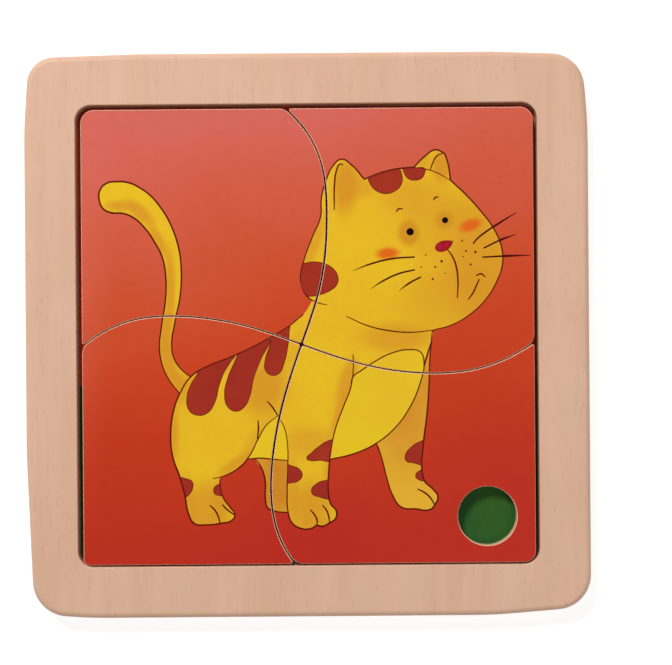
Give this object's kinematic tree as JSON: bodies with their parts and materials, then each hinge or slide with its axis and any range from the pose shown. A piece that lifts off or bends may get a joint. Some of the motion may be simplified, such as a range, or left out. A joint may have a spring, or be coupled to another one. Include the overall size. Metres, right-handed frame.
{
  "type": "tray puzzle",
  "caption": "Square wooden tray puzzle: a rounded ring frame on a base board holds large picture tiles with swept curved edges, and a finger hole helps to lift them out.",
  "frame": {"origin": "centre of the tray's flat back, on the surface it lies on", "axes": "+Z out of the picture, +Y to the top of the picture, +X to its right"},
  "size_m": [0.15, 0.15, 0.008],
  "materials": {
    "base_wood": "plain plywood, sanded",
    "ring_wood": "satin lacquered beech plywood, grain along Y",
    "floor_print": "printed sheet, green below and dark red above",
    "tile_wood": "bare plywood edges",
    "picture_print": "printed sheet with a satin varnish"
  },
  "bodies": {
    "tray": {"base_board": "base_wood", "frame_ring": "ring_wood", "floor_print": "floor_print"},
    "top_left_tile": {"tile_top_left": "tile_wood", "print_top_left": "picture_print"},
    "top_right_tile": {"tile_top_right": "tile_wood", "print_top_right": "picture_print"},
    "bottom_right_tile": {"tile_bottom_right": "tile_wood", "print_bottom_right": "picture_print"},
    "bottom_left_tile": {"tile_bottom_left": "tile_wood", "print_bottom_left": "picture_print"}
  },
  "joints": [
    {"name": "lift_top_left", "type": "slide", "parent": "tray", "child": "top_left_tile", "axis": [0, 0, 1], "range_m": [0, 0.04]},
    {"name": "lift_top_right", "type": "slide", "parent": "tray", "child": "top_right_tile", "axis": [0, 0, 1], "range_m": [0, 0.04]},
    {"name": "lift_bottom_right", "type": "slide", "parent": "tray", "child": "bottom_right_tile", "axis": [0, 0, 1], "range_m": [0, 0.04]},
    {"name": "lift_bottom_left", "type": "slide", "parent": "tray", "child": "bottom_left_tile", "axis": [0, 0, 1], "range_m": [0, 0.04]}
  ]
}
